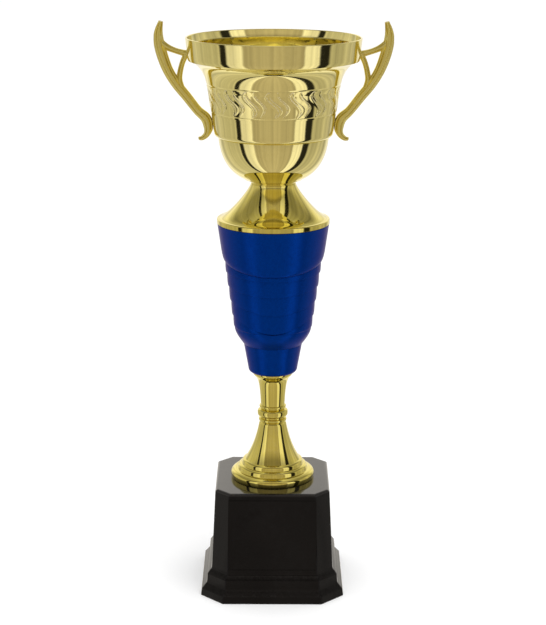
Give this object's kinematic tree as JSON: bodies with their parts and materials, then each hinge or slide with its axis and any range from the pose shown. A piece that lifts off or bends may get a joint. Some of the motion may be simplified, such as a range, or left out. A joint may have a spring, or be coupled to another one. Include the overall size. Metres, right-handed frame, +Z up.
{
  "type": "two-handled trophy cup",
  "caption": "Tall gold presentation cup with horn-shaped side handles, a flared skirt, a stepped blue column and a slim stem, tied to a black plinth by one rod.",
  "frame": {"origin": "centre of the plinth's underside, on the felt pad", "axes": "+Z up along the tie rod, handles along X, front of the column's dipping bands towards -Y"},
  "size_m": [0.1626, 0.12, 0.4031],
  "materials": {
    "polished_gold": "mirror-polished gold-coloured plating on pressed metal",
    "cast_gold": "gold-coloured plating on a casting, a little softer than the bowl",
    "blue_metallic": "deep blue satin metallic lacquer with a fine sparkle",
    "black_plastic": "satin black moulding",
    "zinc_steel": "bright zinc-plated steel",
    "cement": "rough cast cement",
    "fibre_board": "pressed fibre board",
    "felt": "black felt"
  },
  "bodies": {
    "root": {"plinth_shell": "black_plastic", "ballast_block": "cement", "bottom_cover": "fibre_board", "felt_pad": "felt", "tie_rod": "zinc_steel", "plinth_nut": "zinc_steel", "plinth_washer": "zinc_steel", "stem": "polished_gold", "column": "blue_metallic", "skirt": "polished_gold", "bowl": "polished_gold", "bowl_washer": "zinc_steel", "bowl_nut": "zinc_steel", "handle_right": "cast_gold", "upper_screw_right": "zinc_steel", "upper_screw_washer_right": "zinc_steel", "lower_screw_right": "zinc_steel", "lower_screw_washer_right": "zinc_steel", "handle_left": "cast_gold", "upper_screw_left": "zinc_steel", "upper_screw_washer_left": "zinc_steel", "lower_screw_left": "zinc_steel", "lower_screw_washer_left": "zinc_steel"}
  },
  "joints": []
}
